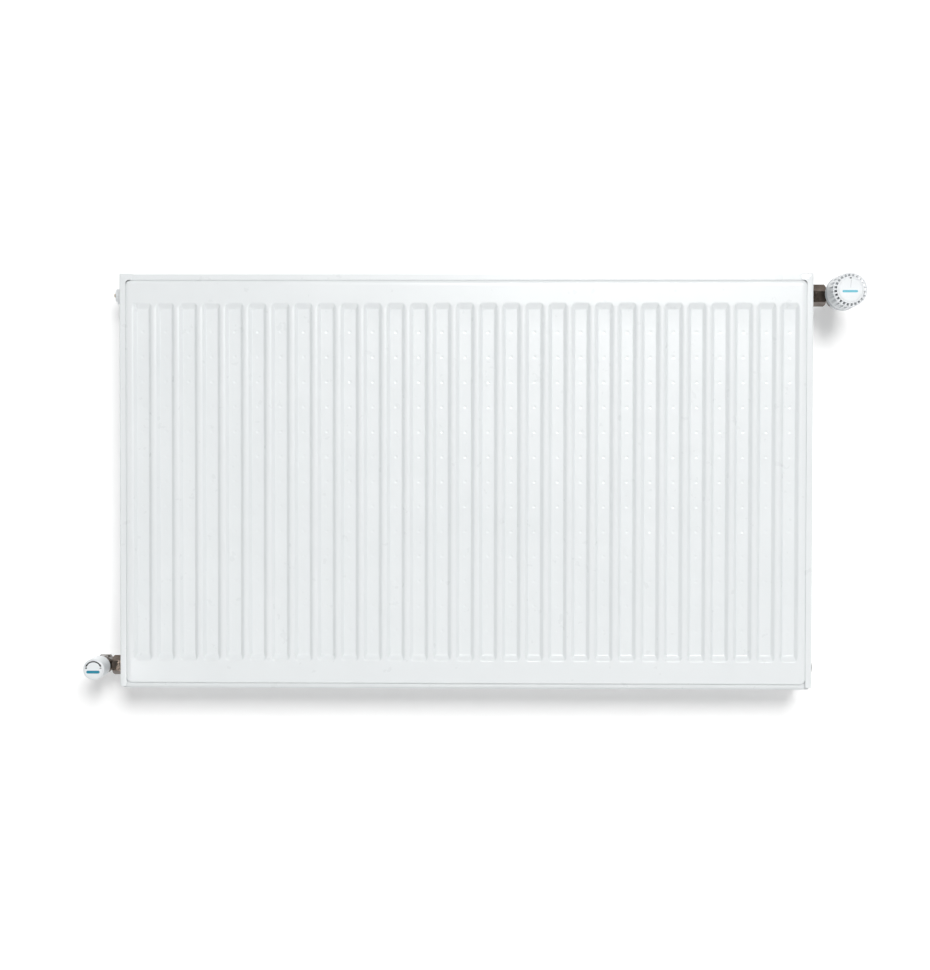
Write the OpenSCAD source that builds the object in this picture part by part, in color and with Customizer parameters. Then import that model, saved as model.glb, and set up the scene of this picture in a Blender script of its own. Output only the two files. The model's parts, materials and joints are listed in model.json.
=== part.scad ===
// Double-panel steel radiator with two convectors, a thermostatic valve and a return valve.
// X runs to the right, Y towards the wall and Z up, in millimetres.
// The origin is the centre of the four hanging slots, on the plane that meets the wall.

/* [Radiator] */
// Width over the side covers
rad_w = 1000; // [600:50:1600]
// Height from the bottom seam to the top of the side covers
rad_h = 600; // [450:50:900]
// Depth from the front face to the rear face
rad_d = 102; // [96:1:140]
// Distance from the wall plane to the rear face
wall_gap = 12; // [10:1:25]
// Centre of a side connection, in from the top or bottom edge
hub_inset = 27; // [24:1:32]
// Face of a side connection, in from the outside of the side cover
hub_recess = 3; // [2:0.5:6]

/* [Pressed panels] */
// Thickness of the pressed sheet
sheet_t = 1.2; // [0.8:0.1:1.5]
// Depth of a pressed pocket
pocket_d = 5.5; // [4:0.1:6.6]
// Distance between the centres of neighbouring pockets
pocket_pitch = 33.333; // [30:0.001:40]
// Width of a pocket at the face
pocket_mouth = 26; // [20:0.5:28]
// Width of a pocket at its floor
pocket_floor = 16; // [12:0.5:18]
// Length of the sloping end of a pocket
pocket_end = 9.5; // [6:0.5:12]
// Flat header band between a pocket's end and the face's top or bottom edge
header_band = 30; // [28:1:36]
// Flat land beside the last pocket
side_land = 9; // [6:1:14]
// Seam flange left showing along the bottom
bottom_flange = 8; // [6:1:12]
// Seam flange covered by the side covers and the grille
edge_flange = 11; // [10:1:14]
// How much wider a panel is at its seam than at its face
shoulder = 1; // [0.5:0.5:1.5]

/* [Convectors] */
// Thickness of the fin sheet
fin_t = 0.5; // [0.4:0.1:0.8]
// Width of a fin's foot on a water channel
fin_foot = 10; // [8:0.5:12]
// Sideways lean of a fin's leg
fin_lean = 2; // [1:0.5:3]
// Open gap between the two convectors
middle_gap = 10; // [6:1:16]
// How far the fins stop short of the panel's top and bottom edges
fin_inset = 60; // [50:5:90]

/* [Covers] */
// Thickness of the cover sheet
cover_t = 1; // [0.8:0.1:1.5]
// Step from the panel's face back to the covers' lips
lip_step = 0.6; // [0.4:0.1:1.5]
// Gap between the panel's shoulder and the covers' lips
lip_gap = 2; // [1.5:0.1:3]
// Width of a side cover's corner tab
tab_w = 17.5; // [14:0.5:24]
// Gap between a side cover's lower end and the bottom edge
cover_end_gap = 3; // [2:0.5:8]
// Radius of the hole round a side connection
cover_hole_r = 17; // [15:0.5:18]
// Width of a grille slot
grille_slot_w = 8; // [5:0.5:9]
// Distance between neighbouring grille slots
grille_pitch = 14; // [12:0.5:18]
// Bar left round and between the two rows of grille slots
grille_bar = 10; // [7:0.5:14]

/* [Hanging lugs] */
// Thickness of the lug strap
lug_t = 3; // [2:0.5:4]
// Width of the lug strap
lug_w = 42; // [40:1:48]
// Number of pockets from the middle out to a lug
lug_pocket = 11; // [4:1:11]
// Centre of a lug's slot, in from the top or bottom edge
lug_inset = 60; // [56:1:70]
// Length of the slot from end to end
lug_slot_l = 24; // [16:1:28]
// Width of the slot
lug_slot_w = 7; // [5.5:0.5:10]
// Height of the bridge between the lug's two bends
lug_bridge = 44; // [36:1:48]
// Height of each welded foot
lug_foot = 15; // [10:1:18]

/* [Side connections] */
// Radius of the tapped bore of a half-inch connection
thread_r = 9.32; // [7.5:0.01:11.2]
// Radial clearance of a screwed thread
thread_gap = 0.07; // [0.05:0.01:0.1]
// Length of a connection's thread
thread_l = 14; // [10:1:18]
// Wall round the tapped bore of a header tee
port_wall = 4.2; // [3:0.1:4.6]
// Outer radius of the cross tube that joins the panels
tee_r = 11.5; // [10:0.5:12]
// Wall of the cross tube
tee_wall = 2.5; // [2:0.1:3.5]
// Distance from the port's face in to the cross tube's centre
tee_reach = 27; // [24:1:30]

/* [Plugs and air vent] */
// Width across the flats of a plug's hexagon
plug_af = 22; // [19:1:24]
// Height of a plug's hexagon
plug_hex_h = 5.5; // [3:0.5:6]
// Radius of a plug's collar
plug_collar_r = 14.5; // [13:0.5:16]
// Thickness of a plug's collar
plug_collar_t = 4.5; // [3:0.5:5]
// Thickness of a flat seal
seal_t = 1.5; // [1:0.1:2]
// Radius of the vent outlet ring
vent_ring_r = 9.75; // [8:0.25:11]
// Thickness of the vent outlet ring
vent_ring_t = 6.9; // [5:0.1:8]
// Width of the vent screw's square
vent_square = 5; // [4:0.1:5.5]
// Length of the vent screw's square
vent_square_h = 2.7; // [2.5:0.1:5]

/* [Thermostatic valve] */
// Distance from the side connection's face out to the valve's axis
trv_reach = 48.5; // [46:1:60]
// Width across the flats of the union nut
trv_nut_af = 28; // [27:0.5:30]
// Distance from the side connection's face to the union nut's outer end
trv_nut_end = 29.5; // [28:0.5:32]
// Length of the union nut
trv_nut_l = 22; // [19:0.5:24]
// Turn of the union nut's flats from square to the front
trv_nut_turn = 12; // [0:1:30]
// Radius of the valve's barrel
trv_barrel_r = 14; // [13:0.5:16]
// Distance from the hub axis back to the inlet's end
trv_inlet = 26; // [24:1:32]
// Distance from the hub axis to the head's back ring
head_back = 30; // [28:1:36]
// Length of the head from its back ring to its face
head_l = 52; // [46:0.5:70]
// Radius of the head at its back ring
head_back_r = 25.25; // [24:0.25:28]
// Radius of the head at its front rim
head_front_r = 24.25; // [22.75:0.25:25]
// Length of the fixed ring at the head's back
head_ring_l = 10; // [8:0.5:12]
// Number of air slots round the handwheel
head_slots = 24; // [16:1:28]
// Width of an air slot
head_slot_w = 2.6; // [2:0.1:3]
// Turn of the first air slot from the head's right-hand side
head_slot_turn = 5; // [0:1:20]
// Length of the air slots along the handwheel's side
head_slot_l = 30; // [16:1:34]
// Radius of the face disc
face_r = 16.5; // [14:0.5:17]
// Stroke of the valve's disc each way from rest
trv_stroke = 1.5; // [1:0.1:2]

/* [Return valve] */
// Distance from the side connection's face out to the valve's axis
return_reach = 41; // [40:1:50]
// Width across the flats of the union nut
return_nut_af = 25; // [24.5:0.5:27]
// Distance from the side connection's face to the union nut's outer end
return_nut_end = 24.5; // [23:0.5:25]
// Length of the union nut
return_nut_l = 18.5; // [17:0.5:20]
// Radius of the valve's barrel
return_barrel_r = 13; // [12:0.5:14]
// Distance from the hub axis back to the inlet's end
return_inlet = 24; // [22:1:30]
// Distance from the hub axis to the knob's back edge
knob_back = 17; // [16:0.5:20]
// Length of the knob
knob_l = 38; // [34:1:46]
// Radius of the knob
knob_r = 15.5; // [15:0.5:18]
// Wall of the knob's skirt
knob_wall = 1.6; // [1.2:0.1:1.8]
// Stroke of the valve's plug each way from rest
plug_stroke = 1.5; // [1:0.1:2]

/* [Hidden] */
$fn = 64;

paint = "#eef2f4";
white_plastic = "#e9edef";
grey_plastic = "#c4c9cc";
bronze = "#4a3c33";
brass = "#c8a55a";
steel = "#b9bdc0";
rubber = "#222426";

// Planes across the depth
rear_y = -wall_gap;
front_y = rear_y - rad_d;
mid_y = (rear_y + front_y) / 2;
panel_t = 2 * (pocket_d + sheet_t);

// Places of the side connections
hub_x = rad_w / 2 - hub_recess;
hub_z = rad_h / 2 - hub_inset;
tee_x = hub_x - tee_reach;

// The panel's face, its seam and its pockets
face_x = rad_w / 2 - edge_flange;
face_top = rad_h / 2 - edge_flange;
face_bottom = -rad_h / 2 + bottom_flange;
seam_x = hub_x;
seam_top = face_top + edge_flange - 4;
seam_y = pocket_d + sheet_t;
pocket_top = face_top - header_band + 1;
pocket_bottom = face_bottom + header_band + 2;
pockets_each_side = floor((face_x - side_land - pocket_mouth / 2) / pocket_pitch);
pocket_centres = [for (i = [-pockets_each_side : pockets_each_side]) i * pocket_pitch];
strip_centres = [for (i = [-pockets_each_side : pockets_each_side - 1]) (i + 0.5) * pocket_pitch];
far = 2 * rad_w;
skim = 0.01;

// Covers and grille
lip_front = front_y + lip_step;
lip_x = face_x + lip_gap;
lip_z = face_top + lip_gap - 0.5;
cover_top = rad_h / 2;
cover_bottom = -rad_h / 2 + cover_end_gap;
grille_top = cover_top - cover_t - 0.2;
grille_front = lip_front + cover_t + 0.2;
grille_rear = rear_y - (grille_front - front_y);
grille_x = rad_w / 2 - cover_t - 1.5;

// Convectors
fin_d = (rad_d - 2 * panel_t - middle_gap) / 2;
fin_h = face_top - face_bottom - 2 * (fin_inset - edge_flange);
fin_z = (face_top + face_bottom) / 2;

// Hanging lugs
lug_x = lug_pocket * pocket_pitch;
lug_z = rad_h / 2 - lug_inset;
lug_bend = 6;

// Screwed threads are plain cylinders at the thread's mean fit
shank_r = thread_r - thread_gap;

// Union connections: bore and wall of the tail, its collar, and the nut's lip that pulls on the collar
trv_bore_r = 6;
return_bore_r = 4.8;
tail_wall = 2.5;
collar_t = 3;
collar_gap = 1;
nut_lip = 4;

// Air vent, measured out from the side connection's face
vent_face = seal_t + plug_collar_t + plug_hex_h;
vent_nose_r = 4.5;
vent_nose_end = vent_face + vent_ring_t;
vent_bore_r = 2.45;
vent_gland_r = 3.45;
vent_gland_s = vent_face + 1;

// Thermostatic valve, measured along its axis from the hub axis towards the front
trv_x = hub_x + trv_reach;
trv_end_r = trv_nut_af / 2 - 2.2;
trv_neck_r = 8;
trv_seat_s = -trv_bore_r - 0.8;
trv_chamber_r = 10.5;
trv_barrel_front = 12;
trv_front = 20;
trv_m30_r = 15;
bonnet_r = 9.45;
stem_r = 1.6;
stem_end = trv_front + trv_stroke + 3.5;
washer_r = 8;
washer_t = 2.5;
washer_s = trv_seat_s + trv_stroke;
disc_t = 3;
disc_s = washer_s + washer_t;
head_base_neck_r = 12.3;
sensor_r = 15.7;
sensor_s = head_back + 14;
sensor_l = head_l - 28;
guide_in_r = sensor_r + 0.3;
guide_out_r = guide_in_r + 2;
guide_front = head_back + head_l - 24;
wheel_back = head_back + head_ring_l + 0.3;
wheel_front = head_back + head_l;
wheel_bore_r = guide_out_r + 0.06;
wheel_wall = 3.6;
face_t = 1.4;
wheel_inner = wheel_front - face_t - wheel_wall;

// Return valve, measured along its axis in the same way
return_x = -(hub_x + return_reach);
return_end_r = return_nut_af / 2 - 2;
return_neck_r = 7.4;
return_seat_s = -return_bore_r - 0.6;
return_barrel_front = 14;
return_chamber_r = 9;
plug_r = 6.4;
plug_washer_t = 2.5;
plug_s = return_seat_s + 0.05 + plug_stroke + plug_washer_t;
plug_l = 11;
spindle_r = 2.5;
drive_square = 4;
knob_front = knob_back + knob_l;
knob_face_r = 13.4;
knob_face_t = 1;
spindle_end = knob_front - 10;

// A round bar, a round tube and a hexagonal bar, each from z = s and h long
module rod(r, s, h) {
    translate([0, 0, s]) cylinder(r = r, h = h);
}

module tube(r_out, r_in, s, h) {
    translate([0, 0, s])
        difference() {
            cylinder(r = r_out, h = h);
            translate([0, 0, -1]) cylinder(r = r_in, h = h + 2);
        }
}

module hex_bar(af, s, h) {
    translate([0, 0, s]) cylinder(r = af / 2 / cos(30), h = h, $fn = 6);
}

// A hexagon whose corners are turned down at both ends, as on a nut
module chamfered_hex(af, s, h) {
    corner = af / 2 / cos(30);
    drop = (corner - af / 2) * 0.8;
    intersection() {
        hex_bar(af, s, h);
        rotate_extrude()
            polygon([
                [0, s], [af / 2, s], [corner, s + drop],
                [corner, s + h - drop], [af / 2, s + h], [0, s + h]
            ]);
    }
}

// A ring of round section
module o_ring(mid_r, section_r, s) {
    rotate_extrude() translate([mid_r, s]) circle(r = section_r);
}

// A helical spring with flat-cut ends, swept as one closed surface
function spring_point(mid_r, wire_r, s, h, turns, u, a) =
    let (r = mid_r + wire_r * cos(a))
    [r * cos(360 * turns * u), r * sin(360 * turns * u), s + wire_r + (h - 2 * wire_r) * u + wire_r * sin(a)];

module spring(mid_r, wire_r, s, h, turns) {
    sides = 8;
    rings = turns * 14;
    points = [for (i = [0 : rings]) for (j = [0 : sides - 1])
        spring_point(mid_r, wire_r, s, h, turns, i / rings, 360 * j / sides)];
    skin = [for (i = [0 : rings - 1]) for (j = [0 : sides - 1])
        let (a = i * sides + j, b = i * sides + (j + 1) % sides)
        [a, a + sides, b + sides, b]];
    first = [for (j = [0 : sides - 1]) j];
    last = [for (j = [sides - 1 : -1 : 0]) rings * sides + j];
    polyhedron(points = points, faces = concat(skin, [first], [last]), convexity = 6);
}

// Places a module's local z axis: out of a side connection, or along a valve's axis to the front
module on_right(z) {
    translate([hub_x, mid_y, z]) rotate([0, 90, 0]) children();
}

module on_left(z) {
    translate([-hub_x, mid_y, z]) rotate([0, -90, 0]) children();
}

module on_trv() {
    translate([trv_x, mid_y, hub_z]) rotate([90, 0, 0]) children();
}

module on_return() {
    translate([return_x, mid_y, -hub_z]) rotate([90, 0, 0]) children();
}

// ---- Pressed panels -------------------------------------------------------------------------
// Each sheet is drawn with its face at y = 0 and its seam flange towards +y.

// All the pockets as one solid; grow thickens it by the sheet, to shape the sheet's other side
module pockets(grow) {
    slope = (pocket_mouth - pocket_floor) / 2 / pocket_d;
    side = grow * sqrt(1 + slope * slope);
    end_slope = pocket_end / pocket_d;
    end_side = grow * sqrt(1 + end_slope * end_slope);
    floor_y = pocket_d + grow;
    mouth_half = pocket_mouth / 2 + side;
    floor_half = mouth_half - slope * floor_y;
    top = pocket_top + end_side;
    bottom = pocket_bottom - end_side;
    intersection() {
        translate([0, 0, -far / 2])
            linear_extrude(far)
                for (x = pocket_centres)
                    polygon([
                        [x - mouth_half - slope, -1], [x - floor_half, floor_y],
                        [x + floor_half, floor_y], [x + mouth_half + slope, -1]
                    ]);
        translate([-far / 2, 0, 0])
            rotate([90, 0, 90])
                linear_extrude(far)
                    polygon([
                        [-1, bottom - end_slope], [floor_y, bottom + end_slope * floor_y],
                        [floor_y, top - end_slope * floor_y], [-1, top + end_slope]
                    ]);
    }
}

// The tray's block: square-edged at the seam and leaning in to the face, set in by inset
module tray_block(inset) {
    back = seam_y - (inset > 0 ? 0 : sheet_t);
    lean = shoulder / (seam_y - sheet_t);
    intersection() {
        translate([0, 0, -far / 2])
            linear_extrude(far)
                polygon([
                    [-face_x + inset - lean * inset, inset], [face_x - inset + lean * inset, inset],
                    [face_x - inset + lean * back, back + skim], [-face_x + inset - lean * back, back + skim]
                ]);
        translate([-far / 2, 0, 0])
            rotate([90, 0, 90])
                linear_extrude(far)
                    polygon([
                        [inset, face_bottom + inset - lean * inset], [inset, face_top - inset + lean * inset],
                        [back + skim, face_top - inset + lean * back],
                        [back + skim, face_bottom + inset - lean * back]
                    ]);
    }
}

module seam_flange() {
    translate([-seam_x, seam_y - sheet_t, -rad_h / 2])
        cube([2 * seam_x, sheet_t, seam_top + rad_h / 2]);
}

module panel_sheet() {
    difference() {
        union() {
            tray_block(0);
            seam_flange();
        }
        difference() {
            tray_block(sheet_t);
            pockets(sheet_t);
        }
        pockets(0);
    }
}

// The two sheets of a panel lie floor to floor; the sheet next to the gap lets the cross tubes in
module tube_holes() {
    for (x = [-tee_x, tee_x])
        for (z = [-hub_z, hub_z])
            translate([x, -far / 2, z]) rotate([-90, 0, 0]) cylinder(r = tee_r, h = far);
}

module front_panel_outer() {
    color(paint) translate([0, front_y, 0]) panel_sheet();
}

module front_panel_inner() {
    color(paint)
        difference() {
            translate([0, front_y + panel_t, 0]) mirror([0, 1, 0]) panel_sheet();
            tube_holes();
        }
}

module rear_panel_inner() {
    color(paint)
        difference() {
            translate([0, rear_y - panel_t, 0]) panel_sheet();
            tube_holes();
        }
}

module rear_panel_outer() {
    color(paint) translate([0, rear_y, 0]) mirror([0, 1, 0]) panel_sheet();
}

// ---- Convectors -----------------------------------------------------------------------------
// One folded sheet: a foot on every water channel and a crest over every pocket between them.
module convector() {
    half = fin_foot / 2;
    count = len(strip_centres);
    last = strip_centres[count - 1];
    under = [for (i = [0 : count - 2]) let (x = strip_centres[i], n = strip_centres[i + 1]) each [
        [x - half, 0], [x + half, 0],
        [x + half + fin_lean, fin_d - fin_t], [n - half - fin_lean, fin_d - fin_t]
    ]];
    over = [for (i = [count - 2 : -1 : 0]) let (x = strip_centres[i], n = strip_centres[i + 1]) each [
        [n - half + fin_t, fin_t], [n - half - fin_lean + fin_t, fin_d],
        [x + half + fin_lean - fin_t, fin_d], [x + half - fin_t, fin_t]
    ]];
    ends = [[last - half, 0], [last + half, 0], [last + half, fin_t]];
    translate([0, 0, fin_z - fin_h / 2])
        linear_extrude(fin_h)
            polygon(concat(under, ends, over, [[strip_centres[0] - half, fin_t]]));
}

module front_convector() {
    color(paint) translate([0, front_y + panel_t, 0]) convector();
}

module rear_convector() {
    color(paint) translate([0, rear_y - panel_t, 0]) mirror([0, 1, 0]) convector();
}

// ---- Header tees ----------------------------------------------------------------------------
// A cross tube between the two panels, with a tapped port to the side.
module header_tee() {
    reach = rad_d / 2 - panel_t + sheet_t + 2;
    difference() {
        union() {
            translate([0, -reach, 0]) rotate([-90, 0, 0]) cylinder(r = tee_r, h = 2 * reach);
            rotate([0, 90, 0]) cylinder(r = thread_r + port_wall, h = tee_reach);
        }
        translate([0, -reach - 1, 0]) rotate([-90, 0, 0]) cylinder(r = tee_r - tee_wall, h = 2 * reach + 2);
        translate([tee_reach - thread_l, 0, 0]) rotate([0, 90, 0]) cylinder(r = thread_r, h = thread_l + 1);
        rotate([0, 90, 0]) cylinder(r = tee_r - tee_wall - 1, h = tee_reach);
    }
}

module place_tee(side, level) {
    color(paint)
        translate([side * tee_x, mid_y, level * hub_z])
            mirror([side < 0 ? 1 : 0, 0, 0]) header_tee();
}

// ---- Covers ---------------------------------------------------------------------------------
// Drawn for the right-hand side; the left one is its mirror image.
module lip_profile(y) {
    // The lip runs down the side and turns in along the top as the corner tab
    translate([0, y, 0])
        rotate([90, 0, 0])
            translate([0, 0, -cover_t])
                linear_extrude(cover_t)
                    polygon([
                        [lip_x, cover_bottom], [rad_w / 2, cover_bottom], [rad_w / 2, cover_top],
                        [rad_w / 2 - tab_w, cover_top], [rad_w / 2 - tab_w, lip_z], [lip_x, lip_z]
                    ]);
}

module side_cover() {
    depth = rad_d - 2 * lip_step;
    difference() {
        union() {
            lip_profile(lip_front);
            lip_profile(lip_front + depth - cover_t);
            translate([rad_w / 2 - cover_t, lip_front, cover_bottom])
                cube([cover_t, depth, cover_top - cover_bottom]);
            translate([rad_w / 2 - tab_w, lip_front, cover_top - cover_t])
                cube([tab_w, depth, cover_t]);
        }
        for (z = [-hub_z, hub_z])
            translate([hub_x - 5, mid_y, z]) rotate([0, 90, 0]) cylinder(r = cover_hole_r, h = 20);
    }
}

module side_cover_left() {
    color(paint) mirror([1, 0, 0]) side_cover();
}

module side_cover_right() {
    color(paint) side_cover();
}

module grille_slot(length) {
    straight = length - grille_slot_w;
    square([grille_slot_w, straight], center = true);
    for (y = [-straight / 2, straight / 2])
        translate([0, y]) circle(d = grille_slot_w);
}

module top_grille() {
    depth = grille_rear - grille_front;
    slot_l = (depth - 3 * grille_bar) / 2;
    slots_each_side = floor((rad_w / 2 - tab_w - grille_bar) / grille_pitch);
    color(paint) {
        translate([0, 0, grille_top - cover_t])
            linear_extrude(cover_t)
                difference() {
                    translate([-grille_x, grille_front]) square([2 * grille_x, depth]);
                    for (i = [-slots_each_side : slots_each_side])
                        for (side = [-1, 1])
                            translate([i * grille_pitch, mid_y + side * (slot_l + grille_bar) / 2])
                                grille_slot(slot_l);
                }
        for (y = [grille_front, grille_rear - cover_t])
            translate([-grille_x, y, lip_z]) cube([2 * grille_x, cover_t, grille_top - lip_z]);
    }
}

// ---- Hanging lugs ---------------------------------------------------------------------------
// A strap with two welded feet and a bridge that stands off to the wall plane, slotted in its middle.
module hanging_lug() {
    bridge = lug_bridge / 2;
    difference() {
        translate([-lug_w / 2, 0, 0])
            rotate([90, 0, 90])
                linear_extrude(lug_w)
                    polygon([
                        [rear_y, bridge + lug_bend + lug_foot], [rear_y + lug_t, bridge + lug_bend + lug_foot],
                        [rear_y + lug_t, bridge + lug_bend], [0, bridge], [0, -bridge],
                        [rear_y + lug_t, -bridge - lug_bend], [rear_y + lug_t, -bridge - lug_bend - lug_foot],
                        [rear_y, -bridge - lug_bend - lug_foot], [rear_y, -bridge - lug_bend + 1],
                        [-lug_t, -bridge + 1], [-lug_t, bridge - 1], [rear_y, bridge + lug_bend - 1]
                    ]);
        rotate([90, 0, 0])
            translate([0, 0, -1])
                linear_extrude(lug_t + 2) {
                    square([lug_slot_l - lug_slot_w, lug_slot_w], center = true);
                    for (x = [-1, 1])
                        translate([x * (lug_slot_l - lug_slot_w) / 2, 0]) circle(d = lug_slot_w);
                }
    }
}

module place_lug(side, level) {
    color(paint) translate([side * lug_x, 0, level * lug_z]) hanging_lug();
}

// ---- Plugs and air vent ---------------------------------------------------------------------
module plug_blank() {
    rod(shank_r, -thread_l + 2, thread_l - 2 + seal_t + 1);
    rod(plug_collar_r, seal_t, plug_collar_t);
    chamfered_hex(plug_af, seal_t + plug_collar_t - skim, plug_hex_h);
}

module blanking_plug() {
    color(bronze) on_right(-hub_z) plug_blank();
}

module blanking_plug_seal() {
    color(rubber) on_right(-hub_z) tube(plug_collar_r - 1, shank_r + 0.1, 0, seal_t);
}

module vent_plug() {
    color(bronze)
        on_left(hub_z)
            difference() {
                union() {
                    plug_blank();
                    rod(vent_nose_r, vent_face - 1, vent_ring_t + 1);
                }
                rod(vent_gland_r, vent_gland_s, 20);
                rod(vent_bore_r, 0, 30);
                rod(1, -thread_l, 30);
            }
}

module vent_plug_seal() {
    color(rubber) on_left(hub_z) tube(plug_collar_r - 1, shank_r + 0.1, 0, seal_t);
}

module vent_outlet_ring() {
    color(white_plastic)
        on_left(hub_z)
            difference() {
                union() {
                    rotate_extrude()
                        polygon([
                            [0, vent_face + 0.2], [vent_ring_r, vent_face + 0.2],
                            [vent_ring_r, vent_nose_end - 1], [vent_ring_r - 1, vent_nose_end],
                            [0, vent_nose_end]
                        ]);
                    translate([0, 0, vent_face + vent_ring_t / 2])
                        rotate([0, -90, 0])
                            cylinder(r1 = 2.6, r2 = 2, h = vent_ring_r + 3);
                }
                rod(vent_nose_r + 0.06, vent_face - 1, 20);
                translate([-vent_ring_r, 0, vent_face + vent_ring_t / 2])
                    rotate([0, -90, 0])
                        cylinder(r = 1.2, h = 10);
            }
}

module vent_screw() {
    flange_s = vent_gland_s + 2;
    color(brass)
        on_left(hub_z)
            difference() {
                union() {
                    translate([0, 0, 0.2]) cylinder(r1 = 0.8, r2 = vent_bore_r - 0.05, h = 2);
                    rod(vent_bore_r - 0.05, 2.2, vent_gland_s - 2.2);
                    rod(2, vent_gland_s - 1, 4);
                    rod(vent_gland_r - 0.06, flange_s, vent_nose_end - flange_s + 0.2);
                    translate([-vent_square / 2, -vent_square / 2, vent_nose_end + 0.1])
                        cube([vent_square, vent_square, vent_square_h]);
                }
                translate([-vent_square, -0.5, vent_nose_end + vent_square_h - 1])
                    cube([2 * vent_square, 1, 2]);
            }
}

module vent_screw_o_ring() {
    color(rubber) on_left(hub_z) o_ring(2.71, 0.66, vent_gland_s + 1.1);
}

// ---- Union connections, shared by both valves ----------------------------------------------
// Measured out from the side connection's face to the nut's outer end.
module tailpiece(nut_end, nut_l, end_r, bore_r) {
    collar_s = nut_end - nut_l + nut_lip;
    difference() {
        union() {
            rod(shank_r, -thread_l + 2, thread_l);
            rod(bore_r + tail_wall, 1, collar_s);
            rod(end_r - collar_gap, collar_s, collar_t);
        }
        rod(bore_r, -thread_l, nut_end + thread_l);
    }
}

module tail_seal(nut_end, nut_l, end_r, bore_r) {
    tube(end_r - collar_gap, bore_r + 0.5, nut_end - nut_l + nut_lip + collar_t, seal_t);
}

module union_nut(af, nut_end, nut_l, end_r, bore_r) {
    difference() {
        chamfered_hex(af, nut_end - nut_l, nut_l);
        rod(bore_r + tail_wall + 0.25, 0, nut_end);
        rod(end_r + thread_gap, nut_end - nut_l + nut_lip, nut_l);
    }
}

// The valve's spigot: the thread under the nut, a waist and a flare into the barrel
module spigot(reach, nut_end, nut_l, end_r, neck_r, flare_r) {
    s = nut_end - nut_l + nut_lip + collar_t + seal_t;
    rod(end_r, s, nut_end - 1 - s);
    rod(neck_r, nut_end - 1.5, reach - nut_end);
    translate([0, 0, nut_end + 2])
        cylinder(r1 = neck_r, r2 = flare_r, h = reach - nut_end - 7);
}

// ---- Thermostatic valve ---------------------------------------------------------------------
module trv_tailpiece() {
    color(bronze) on_right(hub_z) tailpiece(trv_nut_end, trv_nut_l, trv_end_r, trv_bore_r);
}

module trv_tail_seal() {
    color(rubber) on_right(hub_z) tail_seal(trv_nut_end, trv_nut_l, trv_end_r, trv_bore_r);
}

module trv_union_nut() {
    color(bronze)
        on_right(hub_z)
            rotate([0, 0, trv_nut_turn])
                union_nut(trv_nut_af, trv_nut_end, trv_nut_l, trv_end_r, trv_bore_r);
}

module trv_body() {
    color(bronze)
        difference() {
            union() {
                on_right(hub_z)
                    spigot(trv_reach, trv_nut_end, trv_nut_l, trv_end_r, trv_neck_r, trv_barrel_r - 0.5);
                on_trv() {
                    rod(trv_barrel_r, -trv_inlet + 10, trv_inlet - 10 + trv_barrel_front);
                    chamfered_hex(2 * trv_barrel_r - 1, -trv_inlet, 12);
                    rod(trv_m30_r, trv_barrel_front, trv_front - trv_barrel_front);
                }
            }
            on_right(hub_z) rod(trv_bore_r, trv_nut_end - trv_nut_l, trv_reach - trv_nut_end + trv_nut_l);
            on_trv() {
                rod(thread_r, -trv_inlet - 1, thread_l);
                rod(washer_r - 1, -trv_inlet, trv_inlet);
                rod(trv_chamber_r, trv_seat_s, trv_barrel_front - 3 - trv_seat_s);
                rod(bonnet_r + thread_gap, 0, 30);
            }
        }
}

module trv_bonnet() {
    color(brass)
        on_trv()
            difference() {
                union() {
                    rod(bonnet_r, trv_barrel_front - 3, trv_front - trv_barrel_front + 1.4);
                    rod(6.5, trv_front - 2, 3);
                }
                rod(6, trv_barrel_front - 4, 5);
                rod(stem_r + 0.08, 0, 40);
                rod(3.2, trv_front - 1.6, 10);
            }
}

module trv_gland_nut() {
    color(brass)
        on_trv()
            difference() {
                union() {
                    rod(3.15, trv_front - 0.1, 1.4);
                    hex_bar(9, trv_front + 1, 2);
                }
                rod(stem_r + 0.08, 0, 40);
            }
}

module trv_gland_o_ring() {
    color(rubber) on_trv() o_ring(2.4, 0.7, trv_front - 0.85);
}

module trv_stem() {
    color(steel) on_trv() rod(stem_r, disc_s + disc_t, stem_end - disc_s - disc_t);
}

module trv_disc() {
    color(brass)
        on_trv() {
            rod(washer_r + 0.8, disc_s, 1.4);
            rod(3, disc_s, disc_t);
        }
}

module trv_disc_washer() {
    color(rubber) on_trv() rod(washer_r, washer_s, washer_t);
}

module trv_return_spring() {
    color(steel) on_trv() spring(4.8, 0.45, disc_s + 1.45, trv_barrel_front - disc_s - 0.5, 5);
}

module trv_collar_nut() {
    lip_s = trv_front + 6;
    color(bronze)
        on_trv()
            difference() {
                union() {
                    rod(trv_m30_r + 2.4, trv_barrel_front + 1, lip_s - trv_barrel_front + 1);
                    for (i = [0 : 29])
                        rotate([0, 0, 12 * i])
                            translate([trv_m30_r + 2, -0.8, trv_barrel_front + 2])
                                cube([1.1, 1.6, lip_s - trv_barrel_front - 1]);
                }
                rod(trv_m30_r + thread_gap, 0, lip_s);
                rod(head_base_neck_r + 0.1, 0, 60);
            }
}

module trv_head_base() {
    flange_r = trv_m30_r - 0.2;
    color(grey_plastic)
        on_trv()
            difference() {
                union() {
                    rod(flange_r, trv_front, 5.9);
                    rod(head_base_neck_r, trv_front, head_back - trv_front + 1);
                    rotate_extrude()
                        polygon([
                            [0, head_back], [head_back_r - 1, head_back], [head_back_r, head_back + 1],
                            [head_back_r - 0.4, head_back + head_ring_l],
                            [head_back_r - 3, head_back + head_ring_l], [head_back_r - 3, head_back + 3],
                            [0, head_back + 3]
                        ]);
                    rod(guide_out_r, head_back, guide_front - head_back);
                }
                rod(guide_in_r, head_back + 6, 60);
                rod(6.9, 0, 60);
                rod(6.9 + 2.5, trv_front - 1, 4.5);
            }
}

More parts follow.
